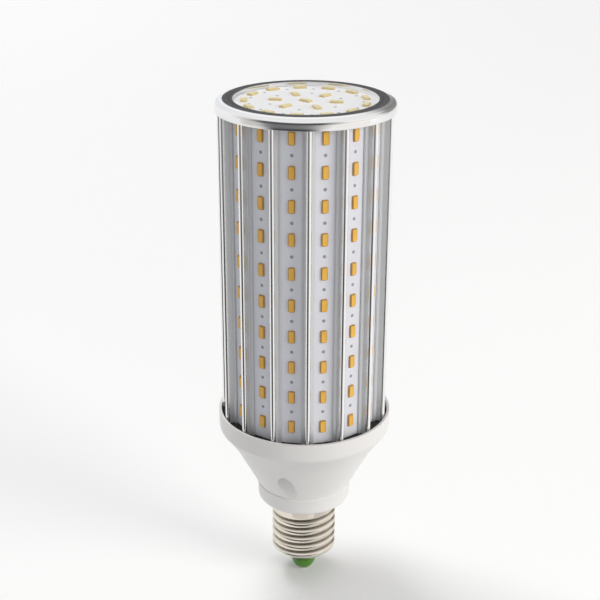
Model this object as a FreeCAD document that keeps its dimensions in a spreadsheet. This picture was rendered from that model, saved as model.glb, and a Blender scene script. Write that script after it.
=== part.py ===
import FreeCAD, Part
import operator
import os
from math import cos, pi, sin, sqrt

import Sketcher

# A corn lamp: strips of LEDs stand in the channels of a finned extrusion, a round LED board closes its
# top inside a turned ring, and a moulded funnel carries it on a screw cap. The driver stands inside.
# Millimetres, +Z up. The origin is the lowest point of the cap's centre contact.
# Azimuths are counted from -Y, towards +X, in degrees. A strip of LEDs faces -Y.

STRIP_COUNT = 15
UPPER_LED_COUNT = 4
LOWER_LED_COUNT = 6
INNER_LED_COUNT = 6
OUTER_LED_COUNT = 13
SCREW_COUNT = 3
SECTOR = 360 / STRIP_COUNT
SECTOR_COSINE = cos(pi / STRIP_COUNT)

# Every driving dimension: its name, its value and what it measures.
DRIVING = [
    ("overall_height", 199, "contact tip to the top of the ring"),
    ("fin_tip_radius", 32.5, "axis to the fin tips"),
    ("fin_thickness", 2.1, "one fin"),
    ("fin_height", 3.6, "channel hooks to the fin tips"),
    ("core_wall", 4, "bore to the floor of a channel"),
    ("port_wall", 1.1, "wall round a screw port"),
    ("port_web", 2.4, "web from a screw port to the core"),
    ("strip_width", 9, "LED strip"),
    ("strip_thickness", 1, "LED strip"),
    ("strip_play", 0.1, "clearance beside and over a strip"),
    ("strip_end_gap", 0.2, "strip end to the extrusion's end"),
    ("hook_reach", 0.75, "channel hook over a strip's edge"),
    ("hook_thickness", 0.8, "channel hook"),
    ("led_length", 5, "LED package"),
    ("led_width", 2.5, "LED package"),
    ("led_height", 0.8, "LED package"),
    ("led_taper", 8, "slope of an LED's sides, degrees"),
    ("led_top_margin", 4.9, "strip's top end to the centre of its first LED"),
    ("led_bottom_margin", 7.7, "strip's foot to the centre of its last LED"),
    ("led_middle_gap", 0.6, "extra space between the two groups of LEDs on a strip"),
    ("spigot_step", 1, "fin tips to the turned end that takes the ring"),
    ("spigot_length", 1.55, "turned end of the fins"),
    ("slip_fit", 0.1, "radial clearance of turned and drilled fits"),
    ("ring_overhang", 0.5, "ring past the fin tips"),
    ("ring_lip_height", 1.4, "ring's lip above the round board"),
    ("ring_lip_cover", 3.1, "ring's lip over the round board's edge"),
    ("bevel_width", 2.8, "bevel on the ring, across"),
    ("bevel_drop", 0.9, "bevel on the ring, down"),
    ("board_thickness", 1.4, "round board"),
    ("board_land", 2, "turned end of the fins to the round board's edge"),
    ("board_play", 0.2, "round board in the ring"),
    ("inner_led_circle", 11.2, "radius of the inner circle of LEDs"),
    ("outer_led_inset", 4, "ring's lip to the outer circle of LEDs"),
    ("outer_led_turn", 22.3, "first LED of the outer circle, degrees from +X"),
    ("centre_led_turn", -33, "LED in the middle, degrees from +X"),
    ("cap_length", 35.4, "contact tip to the collar's foot"),
    ("cap_radius", 13.025, "crest of the cap's thread"),
    ("cap_wall", 1.025, "crest of the thread to the inside of the shell"),
    ("cap_taper_height", 6.7, "sloping foot of the shell"),
    ("cap_taper_wall", 0.6, "shell at its sloping foot"),
    ("contact_height", 1.2, "centre contact"),
    ("contact_radius", 2.9, "centre contact"),
    ("contact_bevel_width", 0.9, "lower edge of the contact, across"),
    ("contact_bevel_height", 0.5, "lower edge of the contact, up"),
    ("insulator_height", 4.6, "insulating cone"),
    ("insulator_lip", 0.3, "cone's foot past the contact"),
    ("plug_radius", 4.4, "insulator's plug in the shell's foot"),
    ("plug_height", 2.4, "insulator's plug"),
    ("plug_shoulder", 0.7, "cone's top past its plug"),
    ("neck_gap", 0.9, "shell's sloping foot to the housing's neck"),
    ("neck_wall", 1.7, "housing's neck"),
    ("housing_height", 40.1, "collar's foot to the rim"),
    ("housing_wall", 2.4, "funnel wall, measured level"),
    ("collar_radius", 18.5, "collar"),
    ("collar_height", 7.5, "collar"),
    ("collar_round", 2.2, "lower corner of the collar"),
    ("collar_floor", 2.6, "floor inside the collar"),
    ("waist_radius", 28.2, "where the funnel's two slopes meet"),
    ("waist_height", 25.7, "collar's foot to that place"),
    ("rim_band", 7.1, "rim to the foot of its upright wall"),
    ("shoulder_round", 3, "round between the rim's wall and the funnel"),
    ("rim_wall", 0.95, "rim round the extrusion's foot"),
    ("rim_clearance", 0.25, "fin tips to the rim"),
    ("foot_depth", 3, "rim to the extrusion's foot"),
    ("ledge_width", 6.2, "seat inside the rim"),
    ("gasket_thickness", 1, "washer under the extrusion's foot"),
    ("gasket_gap", 3.6, "sleeve to the washer"),
    ("pocket_radius", 3.4, "screw pocket"),
    ("pocket_setback", 0.3, "collar to a screw pocket"),
    ("boss_wall", 1.6, "wall round a screw pocket"),
    ("screw_web", 3, "housing under a screw's head"),
    ("screw_turn", -8, "azimuth of the first screw, degrees"),
    ("screw_radius", 1.25, "screw shank"),
    ("screw_head_radius", 2.4, "screw head"),
    ("screw_head_height", 2, "screw head"),
    ("screw_reach", 9, "screw in the extrusion"),
    ("sleeve_height", 100, "driver sleeve"),
    ("sleeve_wall", 1.2, "driver sleeve"),
    ("sleeve_fit", 0.2, "sleeve in the collar"),
    ("driver_thickness", 1.6, "driver board"),
    ("driver_height", 85, "driver board"),
    ("driver_fit", 0.15, "driver board's edges in the sleeve"),
    ("lead_radius", 0.7, "insulated lead"),
    ("lead_play", 0.3, "lead in its hole"),
    ("lead_side", 1.2, "neck's bore to the neutral lead's centre"),
    ("feed_offset", 4, "axis to an LED feed lead"),
    ("choke_radius", 3.2, "line choke"),
    ("choke_height", 7.5, "line choke"),
    ("choke_offset", 4.5, "axis to the choke's centre"),
    ("choke_level", 9, "board's foot to the choke's centre"),
    ("input_can_radius", 3.5, "input capacitor"),
    ("input_can_length", 14, "input capacitor"),
    ("input_can_offset", 5, "axis to the input capacitor"),
    ("input_can_level", 4, "board's foot to the input capacitor"),
    ("film_width", 13, "film capacitor"),
    ("film_depth", 6, "film capacitor"),
    ("film_height", 11, "film capacitor"),
    ("film_level", 22, "board's foot to the film capacitor"),
    ("winding_width", 10, "transformer winding"),
    ("winding_depth", 8.5, "transformer winding"),
    ("winding_height", 8, "transformer winding"),
    ("winding_level", 42, "board's foot to the winding"),
    ("core_leg", 3, "leg of the transformer's core"),
    ("core_depth", 5, "transformer's core"),
    ("output_can_radius", 5, "output capacitor"),
    ("output_can_length", 20, "output capacitor"),
    ("output_can_level", 58, "board's foot to the output capacitor"),
    ("bridge_width", 6.5, "bridge rectifier"),
    ("bridge_depth", 2.6, "bridge rectifier"),
    ("bridge_height", 4.8, "bridge rectifier"),
    ("bridge_level", 18, "board's foot to the bridge rectifier"),
    ("chip_width", 5, "switching chip"),
    ("chip_depth", 1.6, "switching chip"),
    ("chip_height", 4, "switching chip"),
    ("chip_level", 34, "board's foot to the switching chip"),
    ("fuse_radius", 1.7, "fuse resistor"),
    ("fuse_length", 9, "fuse resistor"),
    ("fuse_level", 7, "board's foot to the fuse resistor"),
]


def joined(sign, action):
    """Make an arithmetic method that works on a size's number and on its expression alike."""
    def method(self, other):
        if not isinstance(other, Size):
            other = Size(repr(float(other)), float(other))
        return Size(f"({self.text} {sign} {other.text})", action(self.number, other.number))
    return method


class Size:
    """A dimension that holds its number and the sheet expression that the number comes from."""

    def __init__(self, text, number):
        self.text = text
        self.number = number

    __add__ = joined("+", operator.add)
    __sub__ = joined("-", operator.sub)
    __mul__ = joined("*", operator.mul)
    __truediv__ = joined("/", operator.truediv)

    def __neg__(self):
        return Size(f"(-1 * {self.text})", -self.number)

    def root(self):
        return Size(f"sqrt({self.text})", sqrt(self.number))


ZERO = Size("0", 0.0)

doc = FreeCAD.newDocument("corn_lamp")
sheet = doc.addObject("Spreadsheet::Sheet", "Sizes")
for row, (alias, number, meaning) in enumerate(DRIVING, start=1):
    sheet.set(f"A{row}", meaning)
    sheet.set(f"B{row}", str(number))
    sheet.setAlias(f"B{row}", alias)
doc.recompute()


def size(alias):
    return Size(f"Sizes.{alias}", float(getattr(sheet, alias)))


# Levels, from the contact up.
cap_foot = size("contact_height") + size("insulator_height")
collar_foot = size("cap_length")
collar_inside = collar_foot + size("collar_floor")
rim_top = collar_foot + size("housing_height")
sink_foot = rim_top - size("foot_depth")
ledge = sink_foot - size("gasket_thickness")
shoulder = rim_top - size("rim_band")
waist = collar_foot + size("waist_height")
board_top = size("overall_height") - size("ring_lip_height")
sink_top = board_top - size("board_thickness")
pocket_top = ledge - size("screw_web")
driver_top = collar_inside + size("driver_height")

# Radii and distances, from the axis out.
shell_inside = size("cap_radius") - size("cap_wall")
shell_hole = size("plug_radius") + size("slip_fit")
neck_radius = shell_inside - size("slip_fit")
neck_bore = neck_radius - size("neck_wall")
collar_bore = size("collar_radius") - size("housing_wall")
sleeve_radius = collar_bore - size("sleeve_fit")
sleeve_bore = sleeve_radius - size("sleeve_wall")
screw_circle = size("collar_radius") + size("pocket_setback") + size("pocket_radius")
screw_hole = size("screw_radius") + size("slip_fit")
hook_top = size("fin_tip_radius") - size("fin_height")
hook_foot = hook_top - size("hook_thickness")
strip_face = hook_foot - size("strip_play")
channel_floor = strip_face - size("strip_thickness")
sink_bore = channel_floor - size("core_wall")
rim_bore = size("fin_tip_radius") + size("rim_clearance")
rim_radius = rim_bore + size("rim_wall")
ledge_radius = rim_bore - size("ledge_width")
spigot_radius = size("fin_tip_radius") - size("spigot_step")
ring_radius = size("fin_tip_radius") + size("ring_overhang")
board_radius = spigot_radius - size("board_land")
ring_opening = board_radius - size("ring_lip_cover")
driver_half = size("driver_thickness") / 2


def bind(thing, field, value):
    thing.setExpression(field, value.text)


def placed(thing, x=ZERO, y=ZERO, z=ZERO):
    """Tie an object's position to sizes."""
    for axis, value in zip("xyz", (x, y, z)):
        bind(thing, f"Placement.Base.{axis}", value)
    return thing


def around(azimuth, radius):
    """Tie a point on a circle round the axis to an azimuth and a radius."""
    angle = azimuth.number * pi / 180
    x = Size(f"({radius.text} * sin({azimuth.text}))", radius.number * sin(angle))
    y = Size(f"(-1 * {radius.text} * cos({azimuth.text}))", -radius.number * cos(angle))
    return x, y


def new_body(label):
    body = doc.addObject("PartDesign::Body", label)
    body.Label = label
    return body


def new_sketch(body, role, level=ZERO, turn=ZERO):
    """Start a sketch on one of a body's own planes, moved along its normal and turned in it."""
    plane = next(item for item in body.Origin.OriginFeatures if item.Role == role)
    sketch = body.newObject("Sketcher::SketchObject", "Outline")
    sketch.AttachmentSupport = [(plane, "")]
    sketch.MapMode = "FlatFace"
    bind(sketch, "AttachmentOffset.Base.z", level)
    bind(sketch, "AttachmentOffset.Rotation.Angle", turn)
    return sketch


def fix_point(sketch, item, position, x, y):
    """Hold a sketch point at a distance from the origin that is bound to sizes."""
    for kind, value, axis in (("DistanceX", x, -2), ("DistanceY", y, -1)):
        if value is ZERO:
            sketch.addConstraint(Sketcher.Constraint("PointOnObject", item, position, axis))
            continue
        index = sketch.addConstraint(Sketcher.Constraint(kind, -1, 1, item, position, value.number))
        bind(sketch, f"Constraints[{index}]", value)


def draw_outline(sketch, corners):
    """Draw a closed outline of straight edges whose corners are bound to sizes."""
    points = [FreeCAD.Vector(x.number, y.number, 0) for x, y in corners]
    count = len(points)
    for index in range(count):
        sketch.addGeometry(Part.LineSegment(points[index], points[(index + 1) % count]), False)
    for index in range(count):
        sketch.addConstraint(Sketcher.Constraint("Coincident", index, 2, (index + 1) % count, 1))
    for index, (x, y) in enumerate(corners):
        fix_point(sketch, index, 1, x, y)
    return sketch


def draw_circle(sketch, radius, x=ZERO, y=ZERO):
    """Draw a circle whose radius and centre are bound to sizes."""
    centre = FreeCAD.Vector(x.number, y.number, 0)
    item = sketch.addGeometry(Part.Circle(centre, FreeCAD.Vector(0, 0, 1), radius.number), False)
    index = sketch.addConstraint(Sketcher.Constraint("Radius", item, radius.number))
    bind(sketch, f"Constraints[{index}]", radius)
    fix_point(sketch, item, 3, x, y)
    return sketch


def rectangle(x_low, x_high, y_low, y_high):
    return [(x_low, y_low), (x_high, y_low), (x_high, y_high), (x_low, y_high)]


def pad(body, sketch, length):
    feature = body.newObject("PartDesign::Pad", "Pad")
    feature.Profile = sketch
    bind(feature, "Length", length)
    return feature


def pocket(body, sketch, length):
    """Cut along the sketch's own normal, so that the cut goes up from the sketch."""
    feature = body.newObject("PartDesign::Pocket", "Pocket")
    feature.Profile = sketch
    feature.Reversed = True
    bind(feature, "Length", length)
    return feature


def polar(body, feature, count):
    """Repeat a feature evenly round the axis that its sketch stands on."""
    pattern = body.newObject("PartDesign::PolarPattern", "Circle")
    pattern.Originals = [feature]
    pattern.Axis = (feature.Profile[0], ["N_Axis"])
    pattern.Angle = 360
    pattern.Occurrences = count
    body.Tip = pattern
    return pattern


def turned(label, corners):
    """Make a body by turning an outline of radii and levels about the axis."""
    body = new_body(label)
    sketch = draw_outline(new_sketch(body, "XZ_Plane"), corners)
    feature = body.newObject("PartDesign::Revolution", "Turned")
    feature.Profile = sketch
    feature.ReferenceAxis = (sketch, ["V_Axis"])
    feature.Angle = 360
    body.Tip = feature
    return body


def rounded_corner(body, radius, level, round_size):
    """Round the circular edge of a turned body that has this radius and level."""
    doc.recompute()
    base = body.Tip
    names = []
    for index, edge in enumerate(base.Shape.Edges, start=1):
        if not isinstance(edge.Curve, Part.Circle):
            continue
        same_radius = abs(edge.Curve.Radius - radius.number) < 1e-4
        same_level = abs(edge.Curve.Center.z - level.number) < 1e-4
        if same_radius and same_level:
            names.append(f"Edge{index}")
    feature = body.newObject("PartDesign::Fillet", "Round")
    feature.Base = (base, names)
    bind(feature, "Radius", round_size)
    body.Tip = feature


def box(label, width, depth, height, x, y, z):
    item = doc.addObject("Part::Box", label)
    item.Label = label
    for field, value in zip(("Length", "Width", "Height"), (width, depth, height)):
        bind(item, field, value)
    return placed(item, x, y, z)


def cylinder(label, radius, height, x, y, z, axis=FreeCAD.Vector(0, 0, 1)):
    """Make a rod that starts at a point and runs along an axis."""
    item = doc.addObject("Part::Cylinder", label)
    item.Label = label
    bind(item, "Radius", radius)
    bind(item, "Height", height)
    item.Placement.Rotation = FreeCAD.Rotation(FreeCAD.Vector(0, 0, 1), axis)
    return placed(item, x, y, z)


def group(kind, label, items):
    """Join several objects into one, as a fuse or as a set of separate solids."""
    item = doc.addObject(kind, label)
    item.Label = label
    if kind == "Part::Compound":
        item.Links = items
    else:
        item.Shapes = items
    return item


def cut(label, base, tool):
    item = doc.addObject("Part::Cut", label)
    item.Label = label
    item.Base = base
    item.Tool = tool
    return item


def screw_places():
    """Give each screw's position, evenly spaced round the screw circle."""
    for index in range(SCREW_COUNT):
        yield around(size("screw_turn") + index * 360 / SCREW_COUNT, screw_circle)


def build_heatsink():
    """Extrude the core with its fins, channels, bore and screw ports, then turn the upper end down."""
    body = new_body("heatsink")
    length = sink_top - sink_foot
    core = body.newObject("PartDesign::AdditivePrism", "Core")
    core.Polygon = STRIP_COUNT
    bind(core, "Circumradius", hook_top / SECTOR_COSINE)
    bind(core, "Height", length)

    fin = new_sketch(body, "XY_Plane")
    half = size("fin_thickness") / 2
    round_centre = size("fin_tip_radius") - half
    draw_fin(fin, channel_floor, round_centre, half)
    polar(body, pad(body, fin, length), STRIP_COUNT)

    bore = draw_circle(new_sketch(body, "XY_Plane"), sink_bore)
    pocket(body, bore, length)

    first_port = size("screw_turn") + SECTOR / 2
    web = new_sketch(body, "XY_Plane", turn=first_port)
    half_web = size("port_web") / 2
    draw_outline(web, rectangle(screw_circle, sink_bore + size("core_wall") / 2, -half_web, half_web))
    polar(body, pad(body, web, length), SCREW_COUNT)
    port = new_sketch(body, "XY_Plane", turn=first_port)
    draw_circle(port, screw_hole + size("port_wall"), x=screw_circle)
    polar(body, pad(body, port, length), SCREW_COUNT)

    channel = new_sketch(body, "XY_Plane", turn=ZERO + SECTOR / 2)
    draw_channel(channel)
    polar(body, pocket(body, channel, length), STRIP_COUNT)

    hole = new_sketch(body, "XY_Plane", turn=first_port)
    draw_circle(hole, screw_hole, x=screw_circle)
    polar(body, pocket(body, hole, length), SCREW_COUNT)

    spigot = new_sketch(body, "XZ_Plane")
    clear_of_fins = size("fin_tip_radius") + size("spigot_step")
    draw_outline(spigot, rectangle(spigot_radius, clear_of_fins, length - size("spigot_length"), length))
    groove = body.newObject("PartDesign::Groove", "Spigot")
    groove.Profile = spigot
    groove.ReferenceAxis = (spigot, ["V_Axis"])
    groove.Angle = 360
    body.Tip = groove

    body.Placement.Rotation = FreeCAD.Rotation(FreeCAD.Vector(0, 0, 1), -90 - SECTOR / 2)
    return placed(body, z=sink_foot)


def draw_fin(sketch, start, round_centre, half):
    """Draw one fin along the sketch's X axis: two straight flanks and a full round at the tip."""
    low = FreeCAD.Vector(start.number, -half.number, 0)
    low_end = FreeCAD.Vector(round_centre.number, -half.number, 0)
    high_end = FreeCAD.Vector(round_centre.number, half.number, 0)
    high = FreeCAD.Vector(start.number, half.number, 0)
    tip = Part.Circle(FreeCAD.Vector(round_centre.number, 0, 0), FreeCAD.Vector(0, 0, 1), half.number)
    sketch.addGeometry(Part.LineSegment(low, low_end), False)
    sketch.addGeometry(Part.ArcOfCircle(tip, -pi / 2, pi / 2), False)
    sketch.addGeometry(Part.LineSegment(high_end, high), False)
    sketch.addGeometry(Part.LineSegment(high, low), False)
    for index in range(4):
        sketch.addConstraint(Sketcher.Constraint("Coincident", index, 2, (index + 1) % 4, 1))
    fix_point(sketch, 0, 1, start, -half)
    fix_point(sketch, 1, 1, round_centre, -half)
    fix_point(sketch, 1, 2, round_centre, half)
    fix_point(sketch, 2, 2, start, half)
    centre = sketch.addConstraint(Sketcher.Constraint("DistanceX", -1, 1, 1, 3, round_centre.number))
    bind(sketch, f"Constraints[{centre}]", round_centre)


def draw_channel(sketch):
    """Draw the hooked channel of one strip, with its floor across the sketch's X axis."""
    wide = size("strip_width") / 2 + size("strip_play")
    mouth = size("strip_width") / 2 - size("hook_reach")
    open_end = hook_top + size("hook_thickness")
    draw_outline(sketch, [
        (channel_floor, -wide),
        (hook_foot, -wide),
        (hook_foot, -mouth),
        (open_end, -mouth),
        (open_end, mouth),
        (hook_foot, mouth),
        (hook_foot, wide),
        (channel_floor, wide),
    ])


def build_strip():
    """Stand one LED strip in the channel that faces -Y."""
    body = new_body("led_strip_01")
    half = size("strip_width") / 2
    sketch = new_sketch(body, "XZ_Plane", level=channel_floor)
    low = sink_foot + size("strip_end_gap")
    high = sink_top - size("strip_end_gap")
    draw_outline(sketch, rectangle(-half, half, low, high))
    body.Tip = pad(body, sketch, size("strip_thickness"))
    return body


def led_block(body, role, level, x, y, width, length, turn=ZERO):
    """Raise one tapered LED package on a body, centred on a point of the sketch's plane."""
    sketch = new_sketch(body, role, level, turn)
    draw_outline(sketch, rectangle(x - width / 2, x + width / 2, y - length / 2, y + length / 2))
    feature = pad(body, sketch, size("led_height"))
    bind(feature, "TaperAngle", -size("led_taper"))
    return feature


def led_row(body, first_level, pitch, count):
    """Repeat an LED down the strip from its first level."""
    first = led_block(body, "XZ_Plane", strip_face, ZERO, first_level, size("led_width"), size("led_length"))
    row = body.newObject("PartDesign::LinearPattern", "Row")
    row.Originals = [first]
    row.Direction = (first.Profile[0], ["V_Axis"])
    row.Reversed = True
    bind(row, "Length", pitch * (count - 1))
    row.Occurrences = count
    body.Tip = row


def build_strip_leds():
    """Set the LEDs of one strip in two groups, at one pitch with a wider space between the groups."""
    body = new_body("strip_leds_01")
    body.AllowCompound = True
    top_led = sink_top - size("strip_end_gap") - size("led_top_margin")
    last_led = sink_foot + size("strip_end_gap") + size("led_bottom_margin")
    spaces = UPPER_LED_COUNT + LOWER_LED_COUNT - 1
    pitch = (top_led - last_led - size("led_middle_gap")) / spaces
    led_row(body, top_led, pitch, UPPER_LED_COUNT)
    led_row(body, last_led + pitch * (LOWER_LED_COUNT - 1), pitch, LOWER_LED_COUNT)
    return body


def copies_round(first, stem):
    """Place copies of a strip's piece in the other channels."""
    pieces = [first]
    for index in range(1, STRIP_COUNT):
        copy = group("Part::Compound", f"{stem}_{index + 1:02d}", [first])
        copy.Placement.Rotation = FreeCAD.Rotation(FreeCAD.Vector(0, 0, 1), SECTOR * index)
        pieces.append(copy)
    return pieces


def build_top_board():
    body = new_body("top_board")
    sketch = draw_circle(new_sketch(body, "XY_Plane", level=sink_top), board_radius)
    body.Tip = pad(body, sketch, size("board_thickness"))
    return body


def build_top_leds():
    """Set one LED in the middle, a circle of LEDs that point outwards, and a circle that runs round."""
    body = new_body("top_leds")
    body.AllowCompound = True
    width = size("led_width")
    length = size("led_length")
    led_block(body, "XY_Plane", board_top, ZERO, ZERO, length, width, size("centre_led_turn"))
    inner = led_block(body, "XY_Plane", board_top, size("inner_led_circle"), ZERO, length, width)
    polar(body, inner, INNER_LED_COUNT)
    outer_circle = ring_opening - size("outer_led_inset")
    turn = size("outer_led_turn")
    outer = led_block(body, "XY_Plane", board_top, outer_circle, ZERO, width, length, turn)
    polar(body, outer, OUTER_LED_COUNT)
    return body


def build_top_ring():
    """Turn the ring: a skirt round the fins' turned end, a recess for the board, a lip and a bevel."""
    top = size("overall_height")
    skirt_foot = sink_top - size("spigot_length")
    skirt_bore = spigot_radius + size("slip_fit")
    recess = board_radius + size("board_play")
    return turned("top_ring", [
        (skirt_bore, skirt_foot),
        (ring_radius, skirt_foot),
        (ring_radius, top - size("bevel_drop")),
        (ring_radius - size("bevel_width"), top),
        (ring_opening, top),
        (ring_opening, board_top),
        (recess, board_top),
        (recess, sink_top),
        (skirt_bore, sink_top),
    ])


def build_gasket():
    """Lay a flat washer under the extrusion's foot, with a hole for each screw."""
    body = new_body("base_gasket")
    sketch = new_sketch(body, "XY_Plane", level=ledge)
    draw_circle(sketch, rim_bore - size("slip_fit"))
    draw_circle(sketch, sleeve_radius + size("gasket_gap"))
    for x, y in screw_places():
        draw_circle(sketch, screw_hole, x, y)
    body.Tip = pad(body, sketch, size("gasket_thickness"))
    return body


def build_housing():
    """Turn the funnel, hollow it round its screw bosses, and open the screw pockets from below."""
    neck_foot = cap_foot + size("cap_taper_height") + size("cap_taper_wall") + size("neck_gap")
    collar_top = collar_foot + size("collar_height")
    funnel = turned("funnel", [
        (neck_bore, neck_foot),
        (neck_radius, neck_foot),
        (neck_radius, collar_foot),
        (size("collar_radius"), collar_foot),
        (size("collar_radius"), collar_top),
        (size("waist_radius"), waist),
        (rim_radius, shoulder),
        (rim_radius, rim_top),
        (rim_bore, rim_top),
        (rim_bore, ledge),
        (neck_bore, ledge),
    ])
    rounded_corner(funnel, rim_radius, shoulder, size("shoulder_round"))
    rounded_corner(funnel, size("collar_radius"), collar_foot, size("collar_round"))

    wall = size("housing_wall")
    slope = (shoulder - waist) / (rim_radius - size("waist_radius"))
    upper_start = waist + (ledge_radius - (size("waist_radius") - wall)) * slope
    cavity = turned("cavity", [
        (ZERO, collar_inside),
        (collar_bore, collar_inside),
        (collar_bore, collar_top),
        (size("waist_radius") - wall, waist),
        (ledge_radius, upper_start),
        (ledge_radius, ledge),
        (ZERO, ledge),
    ])
    bosses = []
    openings = []
    for x, y in screw_places():
        boss_radius = size("pocket_radius") + size("boss_wall")
        bosses.append(cylinder("boss", boss_radius, ledge - collar_foot, x, y, collar_foot))
        openings.append(cylinder("pocket", size("pocket_radius"), pocket_top - collar_top, x, y, collar_top))
        openings.append(cylinder("hole", screw_hole, ledge - collar_top, x, y, collar_top))
    hollow = cut("hollow", cavity, group("Part::MultiFuse", "bosses", bosses))
    shell = cut("shell", funnel, hollow)
    return cut("base_housing", shell, group("Part::MultiFuse", "openings", openings))


def build_screws():
    """Drive the screws up through the housing and the washer into the extrusion's ports."""
    screws = []
    reach = sink_foot + size("screw_reach")
    for x, y in screw_places():
        head_foot = pocket_top - size("screw_head_height")
        head = cylinder("head", size("screw_head_radius"), size("screw_head_height"), x, y, head_foot)
        shank = cylinder("shank", size("screw_radius"), reach - head_foot, x, y, head_foot)
        screws.append(group("Part::MultiFuse", "screw", [head, shank]))
    return group("Part::Compound", "base_screws", screws)


def build_cap():
    """Turn the cap's shell with a sloping foot, the insulating cone with its plug, and the contact."""
    taper_top = cap_foot + size("cap_taper_height")
    foot_radius = shell_hole + size("plug_shoulder")
    shell = turned("cap_shell", [
        (shell_hole, cap_foot),
        (foot_radius, cap_foot),
        (size("cap_radius"), taper_top),
        (size("cap_radius"), collar_foot),
        (shell_inside, collar_foot),
        (shell_inside, taper_top + size("cap_taper_wall")),
        (shell_hole, cap_foot + size("cap_taper_wall")),
    ])
    lead_hole = size("lead_radius") + size("lead_play")
    insulator = turned("cap_insulator", [
        (lead_hole, size("contact_height")),
        (size("contact_radius") + size("insulator_lip"), size("contact_height")),
        (size("plug_radius") + size("plug_shoulder"), cap_foot),
        (size("plug_radius"), cap_foot),
        (size("plug_radius"), cap_foot + size("plug_height")),
        (lead_hole, cap_foot + size("plug_height")),
    ])
    contact = turned("cap_contact", [
        (ZERO, ZERO),
        (size("contact_radius") - size("contact_bevel_width"), ZERO),
        (size("contact_radius"), size("contact_bevel_height")),
        (size("contact_radius"), size("contact_height")),
        (ZERO, size("contact_height")),
    ])
    return [shell, insulator, contact]


def build_sleeve():
    """Close a tube at its top, with a hole for each LED feed lead."""
    body = new_body("driver_sleeve")
    outside = draw_circle(new_sketch(body, "XY_Plane", level=collar_inside), sleeve_radius)
    pad(body, outside, size("sleeve_height"))
    inside = draw_circle(new_sketch(body, "XY_Plane", level=collar_inside), sleeve_bore)
    pocket(body, inside, size("sleeve_height") - size("sleeve_wall"))
    holes = new_sketch(body, "XY_Plane", level=collar_inside)
    for x in (size("feed_offset"), -size("feed_offset")):
        draw_circle(holes, size("lead_radius") + size("lead_play"), x)
    body.Tip = pocket(body, holes, size("sleeve_height"))
    return body


def build_driver():
    """Stand the driver's board across the sleeve and set its components on both faces."""
    foot = collar_inside
    front = -driver_half
    back = driver_half
    outwards = FreeCAD.Vector(0, -1, 0)
    sideways = FreeCAD.Vector(1, 0, 0)
    half_width = (sleeve_bore * sleeve_bore - driver_half * driver_half).root() - size("driver_fit")

    board = box("driver_board", half_width * 2, size("driver_thickness"), size("driver_height"),
                -half_width, front, foot)
    choke = cylinder("line_choke", size("choke_radius"), size("choke_height"),
                     -size("choke_offset"), front, foot + size("choke_level"), outwards)
    input_can = cylinder("input_capacitor", size("input_can_radius"), size("input_can_length"),
                         size("input_can_offset"), front - size("input_can_radius"),
                         foot + size("input_can_level"))
    output_can = cylinder("output_capacitor", size("output_can_radius"), size("output_can_length"),
                          ZERO, front - size("output_can_radius"), foot + size("output_can_level"))
    film = box("film_capacitor", size("film_width"), size("film_depth"), size("film_height"),
               -size("film_width") / 2, front - size("film_depth"), foot + size("film_level"))
    bridge = box("bridge_rectifier", size("bridge_width"), size("bridge_depth"), size("bridge_height"),
                 -size("bridge_width") / 2, back, foot + size("bridge_level"))
    chip = box("switching_chip", size("chip_width"), size("chip_depth"), size("chip_height"),
               -size("chip_width") / 2, back, foot + size("chip_level"))
    fuse = cylinder("fuse_resistor", size("fuse_radius"), size("fuse_length"),
                    -size("fuse_length") / 2, back + size("fuse_radius"), foot + size("fuse_level"), sideways)
    return [board, choke, input_can, output_can, film, bridge, chip, fuse] + build_transformer(front, foot)


def build_transformer(front, foot):
    """Close a core round the middle of a wound block that stands on the driver's board."""
    width = size("winding_width")
    height = size("winding_height")
    depth = size("winding_depth")
    level = foot + size("winding_level")
    winding = box("transformer_winding", width, depth, height, -width / 2, front - depth, level)

    play = size("slip_fit")
    leg = size("core_leg")
    core_depth = size("core_depth")
    core_front = front - depth / 2 - core_depth / 2
    window_width = width + play * 2
    window_height = height + play * 2
    block = box("core_block", window_width + leg * 2, core_depth, window_height + leg * 2,
                -window_width / 2 - leg, core_front, level - play - leg)
    window = box("core_window", window_width, core_depth, window_height,
                 -window_width / 2, core_front, level - play)
    return [winding, cut("transformer_core", block, window)]


def build_leads():
    """Run the live lead down the axis, the neutral lead to the shell, and two leads up to the LEDs."""
    radius = size("lead_radius")
    live_foot = size("contact_height")
    live = cylinder("live_lead", radius, collar_inside - live_foot, ZERO, ZERO, live_foot)

    neutral_offset = neck_bore - size("lead_side")
    taper_inside = shell_inside - shell_hole
    rise = (neutral_offset + radius - shell_hole) / taper_inside * size("cap_taper_height")
    neutral_foot = cap_foot + size("cap_taper_wall") + rise
    neutral = cylinder("neutral_lead", radius, collar_inside - neutral_foot,
                       -neutral_offset, ZERO, neutral_foot)

    feeds = []
    for x in (size("feed_offset"), -size("feed_offset")):
        feeds.append(cylinder("feed", radius, sink_top - driver_top, x, ZERO, driver_top))
    return [live, neutral, group("Part::Compound", "led_feed_leads", feeds)]


pieces = [
    build_heatsink(),
    build_top_board(),
    build_top_leds(),
    build_top_ring(),
    build_gasket(),
    build_housing(),
    build_screws(),
    build_sleeve(),
]
pieces += copies_round(build_strip(), "led_strip")
pieces += copies_round(build_strip_leds(), "strip_leds")
pieces += build_driver()
pieces += build_leads()
pieces += build_cap()
doc.recompute()

for item in doc.Objects:
    if "Invalid" in item.State or "Error" in item.State:
        raise RuntimeError(f"{item.Label} failed to build")
for piece in pieces:
    if piece.Shape.isNull() or not piece.Shape.isValid():
        raise RuntimeError(f"{piece.Label} has no valid shape")

os.makedirs("parts", exist_ok=True)
for piece in pieces:
    piece.Shape.exportStep(os.path.join("parts", f"{piece.Label}.step"))
print(f"{len(pieces)} pieces written")
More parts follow.
